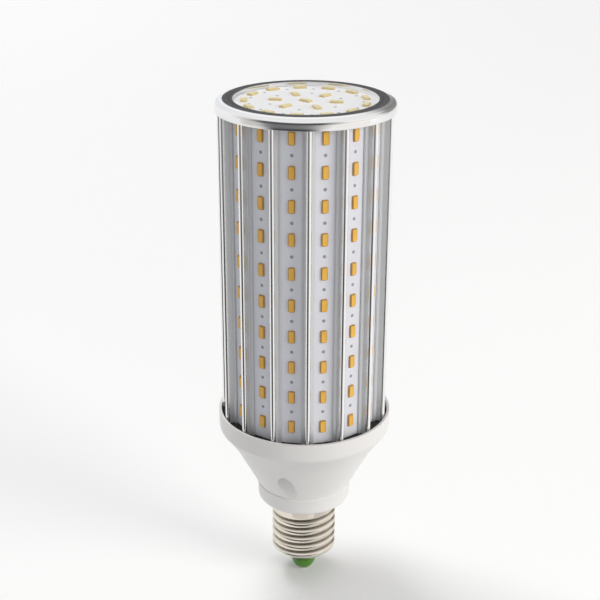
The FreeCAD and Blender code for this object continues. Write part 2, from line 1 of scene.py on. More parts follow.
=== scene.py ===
# %% [markdown]
# A corn lamp is a tall finned aluminium cylinder with strips of LEDs in its channels, a round LED board on
# top, a moulded funnel below and a screw cap. The solid model gives every size. This lesson dresses it:
# each step says what a piece or finish is on the real lamp, how it could be made, and why it is made this way.

# %% Load the frame
from math import cos, pi, radians, sin

import bmesh
import bpy
import numpy as np
from mathutils import Matrix, Vector


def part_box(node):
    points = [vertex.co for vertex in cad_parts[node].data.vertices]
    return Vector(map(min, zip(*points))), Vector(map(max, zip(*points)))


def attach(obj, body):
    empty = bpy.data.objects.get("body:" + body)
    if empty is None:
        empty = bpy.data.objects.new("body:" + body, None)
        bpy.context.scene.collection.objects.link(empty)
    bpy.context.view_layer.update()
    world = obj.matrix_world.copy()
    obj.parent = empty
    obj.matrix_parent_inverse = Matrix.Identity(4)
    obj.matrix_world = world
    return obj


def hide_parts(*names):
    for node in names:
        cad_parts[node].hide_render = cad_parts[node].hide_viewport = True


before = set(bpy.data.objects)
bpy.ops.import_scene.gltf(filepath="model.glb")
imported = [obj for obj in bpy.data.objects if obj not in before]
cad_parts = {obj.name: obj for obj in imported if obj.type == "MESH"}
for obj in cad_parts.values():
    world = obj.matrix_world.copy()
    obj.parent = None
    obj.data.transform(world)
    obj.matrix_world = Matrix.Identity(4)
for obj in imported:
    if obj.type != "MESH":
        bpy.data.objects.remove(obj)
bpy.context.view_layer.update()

MM = 0.001

# %% [markdown]
# Almost every surface of this lamp is either turned on a lathe or pushed through a die. Both are a profile
# carried along a path, so both are one grid of points: one index runs along the profile and the other
# along the path. We work the whole grid out as arrays and hand it to the mesh in one go, which is fast
# and keeps the shape readable as a formula.


# %% Grids to meshes
WELD_DISTANCE = 1e-7
SHORTEST_EDGE = 1e-8


def grid_faces(rows, columns, wrap_rows, wrap_columns):
    """Give the four point numbers of each cell: (i, j), (i, j+1), (i+1, j+1), (i+1, j), with i*columns + j."""
    i = np.arange(rows if wrap_rows else rows - 1)[:, None]
    j = np.arange(columns if wrap_columns else columns - 1)[None, :]
    below = (i + 1) % rows
    right = (j + 1) % columns
    corners = np.stack(np.broadcast_arrays(i * columns + j, i * columns + right, below * columns + right,
                                           below * columns + j), axis=-1)
    return corners.reshape(-1, 4)


def repeated_faces(one, count, points_each):
    """Number the faces of many equal grids: each copy's numbers start where the last copy's end."""
    return (one[None] + (np.arange(count) * points_each)[:, None, None]).reshape(-1, 4)


def place_mesh(name, mesh, smooth_angle):
    """Shade edges gentler than an angle as one surface, and let the mesh ride the lamp's body."""
    mesh.polygons.foreach_set("use_smooth", np.ones(len(mesh.polygons), dtype=bool))
    mesh.set_sharp_from_angle(angle=radians(smooth_angle))
    piece = bpy.data.objects.new(name, mesh)
    bpy.context.collection.objects.link(piece)
    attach(piece, "root")
    print(name, len(mesh.polygons), "faces")
    return piece


def mesh_piece(name, points, faces, smooth_angle=35):
    """Put points and faces into a mesh, weld seams and poles, turn faces outwards, and smooth gentle edges."""
    mesh = bpy.data.meshes.new(name)
    mesh.from_pydata(points.reshape(-1, 3), [], faces.tolist())
    shape = bmesh.new()
    shape.from_mesh(mesh)
    bmesh.ops.remove_doubles(shape, verts=shape.verts, dist=WELD_DISTANCE)
    bmesh.ops.dissolve_degenerate(shape, edges=shape.edges, dist=SHORTEST_EDGE)
    bmesh.ops.recalc_face_normals(shape, faces=shape.faces)
    shape.to_mesh(mesh)
    shape.free()
    return place_mesh(name, mesh, smooth_angle)


# %% Rounded outlines
def rounded(corners, radii, steps=6):
    """Round each corner of an outline: an arc that touches both edges at radius / tan(half the corner's angle).

    The arc runs from one touching point to the other about a centre on the corner's bisector.
    """
    corners = np.asarray(corners, float)
    before = np.roll(corners, 1, axis=0) - corners
    after = np.roll(corners, -1, axis=0) - corners
    before /= np.linalg.norm(before, axis=1, keepdims=True)
    after /= np.linalg.norm(after, axis=1, keepdims=True)
    half = np.arccos(np.clip(np.sum(before * after, axis=1), -1, 1)) / 2
    radii = np.asarray(radii, float)
    bisector = before + after
    bisector /= np.linalg.norm(bisector, axis=1, keepdims=True)
    centre = corners + bisector * (radii / np.sin(half))[:, None]
    start = corners + before * (radii / np.tan(half))[:, None] - centre
    end = corners + after * (radii / np.tan(half))[:, None] - centre
    sweep = np.arctan2(start[:, 0] * end[:, 1] - start[:, 1] * end[:, 0], np.sum(start * end, axis=1))
    turn = sweep[:, None] * np.linspace(0, 1, steps)[None, :]
    x = start[:, :1] * np.cos(turn) - start[:, 1:] * np.sin(turn)
    y = start[:, :1] * np.sin(turn) + start[:, 1:] * np.cos(turn)
    return (np.stack([x, y], axis=-1) + centre[:, None, :]).reshape(-1, 2)


# %% Turning
def turned_piece(name, outline, segments=192):
    """Turn a closed outline of (radius, level): x = r cos a, y = r sin a, z = level, for a full circle."""
    angle = np.linspace(0, 2 * pi, segments, endpoint=False)[:, None]
    r, z = outline.T[:, None, :]
    level = np.broadcast_to(z, (segments, len(outline)))
    points = np.stack([r * np.cos(angle), r * np.sin(angle), level], axis=-1)
    return mesh_piece(name, points, grid_faces(segments, len(outline), True, True))


# %% [markdown]
# Metals on this lamp carry long scratches: along the extrusion from its die, around the ring and the cap
# from their tools. One shared node group draws them all. It takes any vector, so a material chooses the
# direction by stretching its coordinates, and it gives back a value to use for roughness, colour and bump.


# %% Helpers for node trees
def feed(tree, socket, value):
    """Link a socket to another one, or set it to a plain value."""
    if isinstance(value, bpy.types.NodeSocket):
        tree.links.new(value, socket)
    else:
        socket.default_value = value


def add_node(tree, kind, **values):
    """Make a node, and feed its inputs or set its properties by name."""
    node = tree.nodes.new(kind)
    for key, value in values.items():
        label = key.replace("_", " ")
        if label in node.inputs:
            feed(tree, node.inputs[label], value)
        else:
            setattr(node, key, value)
    return node


def calculate(tree, operation, *values, **settings):
    """Make a Math node of numbers or sockets and give its result."""
    node = add_node(tree, "ShaderNodeMath", operation=operation, **settings)
    for socket, value in zip(node.inputs, values):
        feed(tree, socket, value)
    return node.outputs[0]


def new_group(name, inputs, outputs):
    """Start a node group with named sockets: (name, kind, default) in, and (name, kind) out."""
    tree = bpy.data.node_groups.new(name, "ShaderNodeTree")
    for label, kind, default in inputs:
        socket = tree.interface.new_socket(label, in_out="INPUT", socket_type=kind)
        if default is not None:
            socket.default_value = default
    for label, kind in outputs:
        tree.interface.new_socket(label, in_out="OUTPUT", socket_type=kind)
    return tree, tree.nodes.new("NodeGroupInput"), tree.nodes.new("NodeGroupOutput")


# %% Tool marks
# Scale of the broad noise, as a share of the fine one's.
BROAD_SHARE = 0.23


def make_tool_marks():
    """Add two noises of different fineness and keep the sum near one half, so that it reads as fine lines."""
    tree, given, result = new_group(
        "tool_marks",
        [("Vector", "NodeSocketVector", None), ("Fineness", "NodeSocketFloat", 1.0),
         ("Contrast", "NodeSocketFloat", 1.0)],
        [("Value", "NodeSocketFloat")])
    vector, fineness = given.outputs["Vector"], given.outputs["Fineness"]
    coarse = calculate(tree, "MULTIPLY", fineness, BROAD_SHARE)
    fine = add_node(tree, "ShaderNodeTexNoise", Vector=vector, Scale=fineness, Detail=3.0, Roughness=0.6)
    broad = add_node(tree, "ShaderNodeTexNoise", Vector=vector, Scale=coarse, Detail=1.0, Roughness=0.5)
    both = calculate(tree, "ADD", fine.outputs["Fac"], broad.outputs["Fac"])
    centred = calculate(tree, "SUBTRACT", both, 1.0)
    shaped = calculate(tree, "MULTIPLY_ADD", centred, given.outputs["Contrast"], 0.5, use_clamp=True)
    feed(tree, result.inputs["Value"], shaped)
    return tree


tool_marks = make_tool_marks()
print("group", tool_marks.name)


# %% [markdown]
# Plastics, lacquers and solder mask have no direction. Their surface is a very fine even grain with a slow
# drift of tone from the mould or the print. A second shared group gives both, again as plain values.


# %% Fine grain
def make_fine_grain():
    """Give a fine noise for bump and roughness, and a broad one that drifts the colour's brightness."""
    tree, given, result = new_group(
        "fine_grain",
        [("Vector", "NodeSocketVector", None), ("Grain", "NodeSocketFloat", 900.0),
         ("Drift", "NodeSocketFloat", 40.0)],
        [("Grain", "NodeSocketFloat"), ("Drift", "NodeSocketFloat")])
    for label, roughness in (("Grain", 0.55), ("Drift", 0.5)):
        noise = add_node(tree, "ShaderNodeTexNoise", Vector=given.outputs["Vector"],
                         Scale=given.outputs[label], Detail=2.0, Roughness=roughness)
        feed(tree, result.inputs[label], noise.outputs["Fac"])
    return tree


fine_grain = make_fine_grain()
print("group", fine_grain.name)


# %% [markdown]
# A finish is then short to write. A metal reads Object coordinates, stretches them across its tool marks,
# and lets the marks vary colour, roughness and bump a little. A moulded finish does the same with the grain.


# %% Building finishes
# Places of the colour sockets on a Mix node, which keeps sockets for every kind of data.
COLOUR_A = 6
COLOUR_B = 7
COLOUR_RESULT = 2
MARK_CONTRAST = 2.2
BUMP_STRENGTH = 0.6
GRAIN_DEPTH = 3e-6
finishes = {}


def start_material(name, **sockets):
    """Make a material with a Principled shader, set its constant sockets by name, and list it in finishes."""
    material = bpy.data.materials.new(name)
    material.use_nodes = True
    shader = material.node_tree.nodes["Principled BSDF"]
    for label, value in sockets.items():
        shader.inputs[label.replace("_", " ")].default_value = value
    finishes[name] = material
    return material, material.node_tree, shader


def spread(tree, value, low, high):
    """Spread a value from 0 to 1 over a range."""
    return add_node(tree, "ShaderNodeMapRange", Value=value, To_Min=low, To_Max=high).outputs["Result"]


def rise(tree, value, low, high):
    """Rise smoothly from 0 to 1 as a value grows from low to high."""
    step = add_node(tree, "ShaderNodeMapRange", interpolation_type="SMOOTHSTEP", Value=value,
                    From_Min=low, From_Max=high)
    return step.outputs["Result"]


def blend(tree, factor, first, second):
    """Pass from the first colour to the second, each a tuple or a socket, as a factor goes from 0 to 1."""
    mix = add_node(tree, "ShaderNodeMix", data_type="RGBA", Factor=factor)
    for place, colour in ((COLOUR_A, first), (COLOUR_B, second)):
        feed(tree, mix.inputs[place], (*colour, 1) if isinstance(colour, tuple) else colour)
    return mix.outputs[COLOUR_RESULT]


def raise_surface(tree, value, depth, shader):
    """Use a value as the height of a bump this deep, in metres."""
    bump = add_node(tree, "ShaderNodeBump", Height=value, Distance=depth, Strength=BUMP_STRENGTH)
    feed(tree, shader.inputs["Normal"], bump.outputs["Normal"])


def distance_from_axis(tree, source):
    """Measure how far a place is from the Z axis: the length of its x and y."""
    flat = add_node(tree, "ShaderNodeVectorMath", operation="MULTIPLY", Vector=source)
    flat.inputs[1].default_value = (1, 1, 0)
    radius = add_node(tree, "ShaderNodeVectorMath", operation="LENGTH", Vector=flat.outputs["Vector"])
    return radius.outputs["Value"]


def past_radius(tree, low, high):
    """Rise smoothly from 0 to 1 as the distance from the Z axis grows from low to high."""
    place = add_node(tree, "ShaderNodeTexCoord")
    return rise(tree, distance_from_axis(tree, place.outputs["Object"]), low, high)


def stain_inside(material, mask, colour):
    """Blend the finish's own colour towards another where a mask is 0."""
    target = material.node_tree.nodes["Principled BSDF"].inputs["Base Color"]
    feed(material.node_tree, target, blend(material.node_tree, mask, colour, target.links[0].from_socket))


def metal(name, dark, light, roughness, stretch, fineness, depth=2e-6, around=False):
    """Finish a metal whose tool marks are stretched along an axis, or run round the Z axis.

    The marks vary its roughness over a range, which is None where another mask sets it.
    """
    material, tree, shader = start_material(name, Metallic=1.0)
    source = add_node(tree, "ShaderNodeTexCoord").outputs["Object"]
    if around:
        level = add_node(tree, "ShaderNodeSeparateXYZ", Vector=source).outputs["Z"]
        turned = add_node(tree, "ShaderNodeCombineXYZ", X=distance_from_axis(tree, source), Z=level)
        source = turned.outputs["Vector"]
    stretched = add_node(tree, "ShaderNodeMapping", Vector=source, Scale=stretch)
    marks = add_node(tree, "ShaderNodeGroup", node_tree=tool_marks, Vector=stretched.outputs["Vector"],
                     Fineness=fineness, Contrast=MARK_CONTRAST).outputs["Value"]
    feed(tree, shader.inputs["Base Color"], blend(tree, marks, dark, light))
    if roughness:
        feed(tree, shader.inputs["Roughness"], spread(tree, marks, *roughness))
    raise_surface(tree, marks, depth, shader)
    return material


def grained(tree, grain, drift):
    """Lay the shared grain on Object coordinates and give its outputs."""
    place = add_node(tree, "ShaderNodeTexCoord")
    return add_node(tree, "ShaderNodeGroup", node_tree=fine_grain, Vector=place.outputs["Object"],
                    Grain=grain, Drift=drift).outputs


def moulded(name, dark, light, roughness, grain, drift):
    """Finish a plastic, lacquer or print: the drift tints it and the grain breaks up its gloss."""
    _, tree, shader = start_material(name)
    texture = grained(tree, grain, drift)
    feed(tree, shader.inputs["Base Color"], blend(tree, texture["Drift"], dark, light))
    feed(tree, shader.inputs["Roughness"], spread(tree, texture["Grain"], *roughness))
    raise_surface(tree, texture["Grain"], GRAIN_DEPTH, shader)


# %% [markdown]
# Two metals carry a second look, and distance from the axis tells where. The extrusion leaves its etching
# bath with a pale, matt skin, and handling rubs only the fins' tips bright. So roughness and metal change
# over the last millimetre of each fin. The cap's thread turns dull and brown towards the roots of its
# grooves, as painted shade there.

# %% Metals of this lamp
EVENLY = (1, 1, 1)
ALONG_Z = (1, 1, 0.004)
ETCHED_RADIUS = 30.7 * MM
BRIGHT_RADIUS = 31.7 * MM
ETCHED_SKIN = (0.70, 0.715, 0.73)
ETCHED_TO_BRIGHT_ROUGHNESS = (0.42, 0.14)
ETCHED_TO_BRIGHT_METALLIC = (0.55, 1.0)
ROOT_RADIUS = 12.1 * MM
CREST_RADIUS = 12.85 * MM
ROOT_PAINTED_SHADE = (0.26, 0.22, 0.17)

# Each metal: dark tone, light tone, roughness, how its marks stretch, their fineness and depth in metres.
drawn = metal("drawn_aluminium", (0.88, 0.88, 0.89), (0.94, 0.94, 0.94), None, ALONG_Z, 1500, 1e-7)
drawn_shader = drawn.node_tree.nodes["Principled BSDF"]
rubbed = past_radius(drawn.node_tree, ETCHED_RADIUS, BRIGHT_RADIUS)
stain_inside(drawn, rubbed, ETCHED_SKIN)
for label, values in (("Roughness", ETCHED_TO_BRIGHT_ROUGHNESS), ("Metallic", ETCHED_TO_BRIGHT_METALLIC)):
    feed(drawn.node_tree, drawn_shader.inputs[label], spread(drawn.node_tree, rubbed, *values))
metal("turned_aluminium", (0.78, 0.78, 0.79), (0.92, 0.92, 0.92), (0.10, 0.18), EVENLY, 2600, around=True)
nickel = metal("nickel_plate", (0.70, 0.65, 0.57), (0.84, 0.79, 0.71), (0.06, 0.13), EVENLY, 900, around=True)
# Painted shade: the thread's roots are darkened towards a dull brown.
stain_inside(nickel, past_radius(nickel.node_tree, ROOT_RADIUS, CREST_RADIUS), ROOT_PAINTED_SHADE)
metal("zinc_plate", (0.50, 0.50, 0.52), (0.66, 0.66, 0.66), (0.25, 0.40), EVENLY, 1200)
metal("contact_plate", (0.66, 0.62, 0.54), (0.80, 0.76, 0.68), (0.20, 0.35), EVENLY, 1500)
print("metals:", ", ".join(finishes))

# %% [markdown]
# The plastics, rubber, prints and lacquers differ only in their values, so a table holds them: the housing is
# a warm white, the strips' mask a cooler one, and the driver inside has the colours such components come in.

# %% Moulded, printed and lacquered finishes
# Each row: dark tone, light tone, least and most roughness, fineness of the grain, fineness of the drift.
MOULDED = {
    "housing_plastic": ((0.80, 0.788, 0.77), (0.84, 0.828, 0.81), (0.32, 0.42), 1400, 25),
    "board_mask": ((0.72, 0.735, 0.79), (0.78, 0.79, 0.84), (0.35, 0.48), 1800, 120),
    "round_board_mask": ((0.86, 0.865, 0.88), (0.90, 0.905, 0.91), (0.35, 0.48), 1800, 120),
    "black_rubber_and_painted_shade": ((0.010, 0.010, 0.010), (0.018, 0.018, 0.018), (0.6, 0.8), 1500, 60),
    "green_insulation": ((0.06, 0.20, 0.012), (0.075, 0.24, 0.018), (0.30, 0.40), 1500, 90),
    "pad_solder": ((0.25, 0.26, 0.28), (0.38, 0.39, 0.41), (0.35, 0.5), 2500, 400),
    "sleeve_plastic": ((0.78, 0.78, 0.75), (0.84, 0.84, 0.81), (0.4, 0.5), 900, 30),
    "circuit_board": ((0.03, 0.16, 0.06), (0.05, 0.22, 0.09), (0.3, 0.45), 1500, 200),
    "ferrite": ((0.035, 0.035, 0.04), (0.06, 0.06, 0.065), (0.55, 0.7), 2500, 150),
    "winding_tape": ((0.65, 0.48, 0.04), (0.76, 0.58, 0.07), (0.25, 0.4), 900, 150),
    "capacitor_wrap": ((0.02, 0.03, 0.10), (0.03, 0.05, 0.14), (0.25, 0.35), 1200, 100),
    "film_case": ((0.62, 0.44, 0.03), (0.70, 0.52, 0.05), (0.3, 0.45), 1200, 120),
    "black_package": ((0.012, 0.012, 0.013), (0.02, 0.02, 0.022), (0.5, 0.65), 2500, 200),
    "resistor_coat": ((0.12, 0.30, 0.33), (0.18, 0.38, 0.42), (0.2, 0.3), 1500, 200),
    "red_wire": ((0.42, 0.015, 0.012), (0.52, 0.025, 0.02), (0.35, 0.5), 1500, 200),
    "white_wire": ((0.72, 0.72, 0.70), (0.80, 0.80, 0.78), (0.35, 0.5), 1500, 200),
}
for name, values in MOULDED.items():
    moulded(name, *values)
print(len(finishes), "finishes so far")

# %% [markdown]
# The LEDs are little moulded frames filled with a yellow gel. The gel is the part that catches the eye, so
# the mesh carries an attribute called gel that is 1 on the filling and 0 on the frame, and the material
# blends the two colours by it. The frame is coloured a dark brown as painted shade for the block's sides.
# The round board's LEDs are the same sort as the strips', but they get paler colours as painted light, the
# wash of the overhead lamp on them. So the same recipe makes both, each with its own colours.


# %% LED finish
GEL_ROUGHNESS = 0.35
GEL_GRAIN = 2500
GEL_DRIFT = 180
GEL_DEPTH = 4e-6


def make_led_finish(name, dark_gel, light_gel, frame_painted_shade):
    """Blend frame and gel by the mesh's own attribute, with a slight drift from one LED to the next."""
    _, tree, shader = start_material(name, Roughness=GEL_ROUGHNESS)
    gel = add_node(tree, "ShaderNodeAttribute", attribute_name="gel")
    texture = grained(tree, GEL_GRAIN, GEL_DRIFT)
    filling = blend(tree, texture["Drift"], dark_gel, light_gel)
    feed(tree, shader.inputs["Base Color"], blend(tree, gel.outputs["Fac"], frame_painted_shade, filling))
    raise_surface(tree, texture["Grain"], GEL_DEPTH, shader)


# Frames are dark brown as painted shade on the sides. The second finish is the same LED made paler, as painted
# light from above.
make_led_finish("amber_gel", (0.80, 0.43, 0.055), (0.90, 0.53, 0.09), (0.46, 0.25, 0.07))
make_led_finish("top_gel_painted_light", (0.78, 0.69, 0.43), (0.85, 0.77, 0.52), (0.66, 0.53, 0.26))
print(len(finishes), "finishes")

# %% [markdown]
# Every solid piece gets its finish in its own material slot, also the driver that nobody sees until the lamp
# is opened. Pieces that get a finer surface below are dressed too, so the solid alone has the same colours.

# %% Dress the solid pieces
STRIP_COUNT = sum(1 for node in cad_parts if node.startswith("led_strip_"))
finish_of = {
    "heatsink": "drawn_aluminium", "top_ring": "turned_aluminium", "top_board": "round_board_mask",
    "top_leds": "top_gel_painted_light", "base_gasket": "black_rubber_and_painted_shade", "base_housing": "housing_plastic",
    "base_screws": "zinc_plate", "cap_shell": "nickel_plate", "cap_insulator": "green_insulation",
    "cap_contact": "contact_plate", "driver_sleeve": "sleeve_plastic", "driver_board": "circuit_board",
    "line_choke": "ferrite", "transformer_core": "ferrite", "transformer_winding": "winding_tape",
    "input_capacitor": "capacitor_wrap", "output_capacitor": "capacitor_wrap", "film_capacitor": "film_case",
    "bridge_rectifier": "black_package", "switching_chip": "black_package", "fuse_resistor": "resistor_coat",
    "live_lead": "red_wire", "neutral_lead": "white_wire", "led_feed_leads": "red_wire",
}
for number in range(1, STRIP_COUNT + 1):
    finish_of[f"led_strip_{number:02d}"] = "board_mask"
    finish_of[f"strip_leds_{number:02d}"] = "amber_gel"
for node, name in finish_of.items():
    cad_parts[node].material_slots[0].material = finishes[name]
print(len(finish_of), "solid pieces dressed,", STRIP_COUNT, "strips")

# %% [markdown]
# The extrusion is pushed through a die, so one outline runs its whole length. One sector of the outline
# holds half a fin, a hook, the channel floor, the other hook and half the next fin. A real die has small
# radii at every edge, and those radii carry the bright lines down the lamp, so they are in the outline.

# %% Sizes of the extrusion
sink_low, sink_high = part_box("heatsink")
strip_low, strip_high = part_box("led_strip_01")
SECTOR = 2 * pi / STRIP_COUNT
FIN_TIP = 32.5 * MM
FIN_HALF = 1.05 * MM
HOOK_THICKNESS = 0.8 * MM
HOOK_REACH = 0.75 * MM
STRIP_PLAY = 0.1 * MM
SPIGOT_STEP = 1.0 * MM
CORE_WALL = 4.0 * MM
# Radii along half a sector: the floor's middle and corner, under the hook, the hook's two edges, the fin's
# root and the start of its tip.
EDGE_RADII = np.array([0, 0.05, 0.05, 0.12, 0.25, 0.35, 0]) * MM
EDGE_STEPS = 5
TIP_STEPS = 9
floor_level = -strip_high.y
hook_foot = -strip_low.y + STRIP_PLAY
hook_top = hook_foot + HOOK_THICKNESS
channel_half = strip_high.x + STRIP_PLAY
mouth_half = strip_high.x - HOOK_REACH
print("hook top radius, mm:", round(hook_top / MM, 2))


# %% One sector's outline
def half_sector():
    """Trace (sideways, outwards) from the middle of a channel's floor to the tip of the fin beside it.

    The fin's flank is the fin's centre line at half a sector, moved sideways by half the fin's thickness.
    It meets the hook's top where its outward part equals the hook's level. The tip is a quarter turn.
    """
    along = np.array([sin(SECTOR / 2), cos(SECTOR / 2)])
    across = np.array([cos(SECTOR / 2), -sin(SECTOR / 2)])
    round_centre = along * (FIN_TIP - FIN_HALF)
    root = (hook_top - FIN_HALF * sin(SECTOR / 2)) / cos(SECTOR / 2)
    corners = [
        (0, floor_level), (channel_half, floor_level), (channel_half, hook_foot), (mouth_half, hook_foot),
        (mouth_half, hook_top), along * root - across * FIN_HALF, round_centre - across * FIN_HALF,
    ]
    eased = rounded(corners, EDGE_RADII, EDGE_STEPS)[EDGE_STEPS - 1:1 - EDGE_STEPS]
    turn = np.linspace(pi, pi / 2, TIP_STEPS)[1:, None]
    tip = round_centre + FIN_HALF * (np.cos(turn) * across + np.sin(turn) * along)
    return np.vstack([eased, tip])


half_outline = half_sector()
mirrored = half_outline[::-1] * np.array([-1, 1])
sector_outline = np.vstack([mirrored[:-1], half_outline[:-1]])
print(len(sector_outline), "points in a sector")


# %% The whole extrusion
def ring_of_sectors(outline):
    """Turn the sector's outline round the axis, sideways becoming the direction around it."""
    turn = np.arange(STRIP_COUNT)[:, None] * SECTOR
    sideways, outwards = outline[:, 0][None, :], outline[:, 1][None, :]
    x = sideways * np.cos(turn) + outwards * np.sin(turn)
    y = sideways * np.sin(turn) - outwards * np.cos(turn)
    return np.stack([x, y], axis=-1).reshape(-1, 2)


def extrusion():
    """Carry the outline up from the foot to the spigot, draw it in there, then return down the bore."""
    outline = ring_of_sectors(sector_outline)
    distance = np.linalg.norm(outline, axis=1, keepdims=True)
    spigot = outline * np.minimum(1, (FIN_TIP - SPIGOT_STEP) / distance)
    bore = outline / distance * (floor_level - CORE_WALL)
    spigot_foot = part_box("top_ring")[0].z
    levels = [(outline, sink_low.z), (outline, spigot_foot), (spigot, spigot_foot), (spigot, sink_high.z),
              (bore, sink_high.z), (bore, sink_low.z)]
    return np.stack([np.column_stack([flat, np.full(len(flat), z)]) for flat, z in levels])


sink_points = extrusion()
sink_faces = grid_faces(*sink_points.shape[:2], True, True)
finned_body = mesh_piece("finned_body", sink_points, sink_faces, smooth_angle=30)
finned_body.data.materials.append(finishes["drawn_aluminium"])
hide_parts("heatsink")

# %% [markdown]
# The ring is turned from tube. Its outline is the solid's, with the small radii that a finishing cut leaves
# on each corner, so that light runs round its edges as on the real one.

# %% Turned ring
ring_low, ring_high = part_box("top_ring")
board_low, board_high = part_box("top_board")
ring_radius = ring_high.x
BEVEL_WIDTH = 2.8 * MM
BEVEL_DROP = 0.9 * MM
LIP_COVER = 3.1 * MM
BOARD_PLAY = 0.2 * MM
SLIP_FIT = 0.1 * MM
# Radii round the section, from the skirt's inner foot: the bevel's lower edge is the softest.
RING_RADII = np.array([0.1, 0.15, 1.6, 0.3, 0.2, 0.02, 0.02, 0.02, 0.02]) * MM
ring_opening = board_high.x - LIP_COVER
skirt_bore = FIN_TIP - SPIGOT_STEP + SLIP_FIT
recess = board_high.x + BOARD_PLAY
ring_outline = rounded([
    (skirt_bore, ring_low.z), (ring_radius, ring_low.z), (ring_radius, ring_high.z - BEVEL_DROP),
    (ring_radius - BEVEL_WIDTH, ring_high.z), (ring_opening, ring_high.z), (ring_opening, board_high.z),
    (recess, board_high.z), (recess, board_low.z), (skirt_bore, board_low.z),
], RING_RADII)
bright_ring = turned_piece("bright_ring", ring_outline, segments=240)
bright_ring.data.materials.append(finishes["turned_aluminium"])
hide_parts("top_ring")

# %% [markdown]
# An LED package is a small block with sloping sides and a shallow dish of gel. One block is a grid: one
# index runs round a rounded rectangle, the other from the foot up the side, over the rim and into the dish.
# All blocks of one strip are the same grid moved to many places, so they are worked out as one array.

# %% One LED block
LED_LENGTH = 5.0 * MM
LED_WIDTH = 2.5 * MM
LED_ROUND = 0.25
LED_AROUND = 12
led_height = strip_low.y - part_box("strip_leds_01")[0].y
# Each row of a block's grid: share of its plan and share of its height.
LED_ROWS = np.array([(1.00, 0.00), (0.97, 0.60), (0.82, 0.96), (0.74, 1.00), (0.66, 0.96), (0.00, 0.96)])
# The gel ends at this share of half the width, softly, and lies above this share of the height.
GEL_EDGE = 0.82
GEL_SOFT = 0.14
GEL_LEVEL = 0.9


def led_block():
    """Give one block's points as (rows, around, 3): across, along and height.

    The plan is a rounded rectangle, |x/a|^n + |y/b|^n = 1 with n = 2 / LED_ROUND, scaled row by row.
    """
    turn = np.linspace(0, 2 * pi, LED_AROUND, endpoint=False)
    across = LED_WIDTH / 2 * np.sign(np.cos(turn)) * np.abs(np.cos(turn)) ** LED_ROUND
    along = LED_LENGTH / 2 * np.sign(np.sin(turn)) * np.abs(np.sin(turn)) ** LED_ROUND
    plan, lift = LED_ROWS[:, :1], LED_ROWS[:, 1:]
    inset = LED_WIDTH / 2 * (1 - plan)
    x = np.sign(across) * np.maximum(np.abs(across) - inset, 0) * (plan > 0)
    y = np.sign(along) * np.maximum(np.abs(along) - inset, 0) * (plan > 0)
    return np.stack([x, y, np.broadcast_to(led_height * lift, x.shape)], axis=-1)


block = led_block()
print("LED height, mm:", round(led_height / MM, 2))


# %% Many LEDs in one mesh
def led_piece(name, places, rows_along, rows_up, finish):
    """Place the block at many points, each with its own directions for along and up, and mark its gel.

    The gel's share falls with the distance from the block's middle line, counted in half widths.
    """
    across = np.cross(rows_along, rows_up)
    points = (places[:, None, None, :] + block[None, :, :, 0:1] * across[:, None, None, :]
              + block[None, :, :, 1:2] * rows_along[:, None, None, :]
              + block[None, :, :, 2:3] * rows_up[:, None, None, :])
    one = grid_faces(len(LED_ROWS), LED_AROUND, False, True)
    faces = repeated_faces(one, len(places), len(LED_ROWS) * LED_AROUND)
    piece = mesh_piece(name, points, faces, smooth_angle=40)
    coordinates = np.empty(len(piece.data.vertices) * 3)
    piece.data.vertices.foreach_get("co", coordinates)
    nearest = np.argmin(np.linalg.norm(coordinates.reshape(-1, 1, 3) - places[None], axis=2), axis=1)
    offset = coordinates.reshape(-1, 3) - places[nearest]
    along = np.abs(np.sum(offset * rows_along[nearest], axis=1))
    sideways = np.abs(np.sum(offset * across[nearest], axis=1))
    edge = np.maximum(along - (LED_LENGTH - LED_WIDTH) / 2, sideways) / (LED_WIDTH / 2)
    lifted = np.sum(offset * rows_up[nearest], axis=1) / led_height
    gel = np.clip((GEL_EDGE - edge) / GEL_SOFT, 0, 1) * (lifted > GEL_LEVEL)
    layer = piece.data.attributes.new("gel", "FLOAT", "POINT")
    layer.data.foreach_set("value", gel.astype(np.float32))
    piece.data.materials.append(finishes[finish])
    return piece


# %% [markdown]
# A strip carries its LEDs in two groups, four above and six below, with a slightly wider step between them
# where two lengths of board meet. The levels are one array, and each strip turns it to its own side.

# %% LEDs of the strips
UP = np.array([0.0, 0.0, 1.0])
UPPER_COUNT = 4
LOWER_COUNT = 6
MIDDLE_GAP = 0.6 * MM
leds_low, leds_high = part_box("strip_leds_01")
first_led = leds_high.z - LED_LENGTH / 2
last_led = leds_low.z + LED_LENGTH / 2
led_pitch = (first_led - last_led - MIDDLE_GAP) / (UPPER_COUNT + LOWER_COUNT - 1)
step_down = np.arange(UPPER_COUNT + LOWER_COUNT)
led_levels = first_led - led_pitch * step_down - MIDDLE_GAP * (step_down >= UPPER_COUNT)
for number in range(STRIP_COUNT):
    out = np.array([sin(SECTOR * number), -cos(SECTOR * number), 0])
    places = out * -strip_low.y + led_levels[:, None] * UP
    upright = np.tile(UP, (len(places), 1))
    leds = led_piece(f"leds_{number + 1:02d}", places, upright, np.tile(out, (len(places), 1)), "amber_gel")
    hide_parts(f"strip_leds_{number + 1:02d}")
print("LED pitch, mm:", round(led_pitch / MM, 2))

# %% [markdown]
# The round board has one LED in the middle, an inner circle whose LEDs point outwards like spokes, and an
# outer circle whose LEDs lie along the edge.

# %% LEDs of the round board
INNER_COUNT = 6
OUTER_COUNT = 13
INNER_CIRCLE = 11.2 * MM
OUTER_INSET = 4.0 * MM
OUTER_TURN = radians(22.3)
CENTRE_TURN = radians(-33)
outer_circle = ring_opening - OUTER_INSET
inner_angle = np.arange(INNER_COUNT) * 2 * pi / INNER_COUNT
outer_angle = OUTER_TURN + np.arange(OUTER_COUNT) * 2 * pi / OUTER_COUNT


